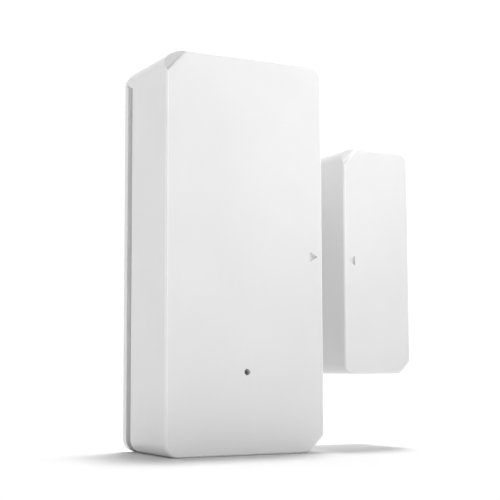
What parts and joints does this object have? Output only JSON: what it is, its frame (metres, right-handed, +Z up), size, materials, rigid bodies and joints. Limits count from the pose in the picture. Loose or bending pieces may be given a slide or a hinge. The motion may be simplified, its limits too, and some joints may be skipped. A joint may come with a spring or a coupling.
{
  "type": "door contact sensor",
  "caption": "Two-piece magnetic door contact sensor: an upright box with a battery bay behind its slide-off case, and a smaller magnet box beside it.",
  "frame": {"origin": "centre of the sensor unit's adhesive pad, on its wall face", "axes": "+X from the sensor to the magnet, +Y into the door frame behind, so the front faces -Y, and +Z up"},
  "size_m": [0.0521, 0.0198, 0.07],
  "materials": {
    "white_plastic": "fine satin white moulding",
    "light_guide": "clear polished plastic",
    "black_plastic": "matte black moulding",
    "board_green": "green solder resist",
    "chip_black": "matte moulded package",
    "plated_steel": "nickel plated",
    "copper_wire": "bare copper wire",
    "reed_glass": "clear greenish glass",
    "cell_jacket": null,
    "magnet_plating": null,
    "adhesive_foam": "double-sided foam tape",
    "lamp_body": "surface-mount lamp"
  },
  "bodies": {
    "cover_on_frame": {"back_cover": "white_plastic", "sensor_pad": "adhesive_foam"},
    "sensor_unit": {"front_shell": "white_plastic", "light_guide": "light_guide", "circuit_board": "board_green", "status_lamp": "lamp_body", "radio_chip": "chip_black", "controller_chip": "chip_black", "crystal": "plated_steel", "board_screw_left": "plated_steel", "board_screw_right": "plated_steel", "reed_glass": "reed_glass", "reed_lower_lead": "plated_steel", "reed_upper_lead": "plated_steel", "battery_holder": "black_plastic", "battery_left": "cell_jacket", "battery_right": "cell_jacket", "negative_plate": "plated_steel", "positive_plate": "plated_steel", "link_plate": "plated_steel", "spring_lower": "plated_steel", "spring_upper": "plated_steel", "button_base": "black_plastic", "antenna_coil": "copper_wire", "capacitor": "plated_steel"},
    "pairing_button": {"button_plunger": "white_plastic"},
    "reed_contact": {"reed_blade": "plated_steel"},
    "magnet_unit": {"magnet_shell": "white_plastic", "magnet_cover": "white_plastic", "bar_magnet": "magnet_plating", "magnet_pad": "adhesive_foam"}
  },
  "joints": [
    {"name": "case_slide", "type": "slide", "parent": "cover_on_frame", "child": "sensor_unit", "axis": [0, 0, 1], "range_m": [0, 0.05]},
    {"name": "door_opening", "type": "slide", "parent": "cover_on_frame", "child": "magnet_unit", "axis": [1, 0, 0], "range_m": [0, 0.06]},
    {"name": "button_press", "type": "slide", "parent": "sensor_unit", "child": "pairing_button", "axis": [0, -1, 0], "range_m": [0, 0.00025], "stiffness_N_per_m": 1000, "springref_m": -0.0004},
    {"name": "reed_open", "type": "hinge", "parent": "sensor_unit", "child": "reed_contact", "pos_m": [0.0113, -0.01636, 0.00415], "axis": [1, 0, 0], "range_deg": [0, 1.2], "stiffness_Nm_per_rad": 0.002}
  ]
}
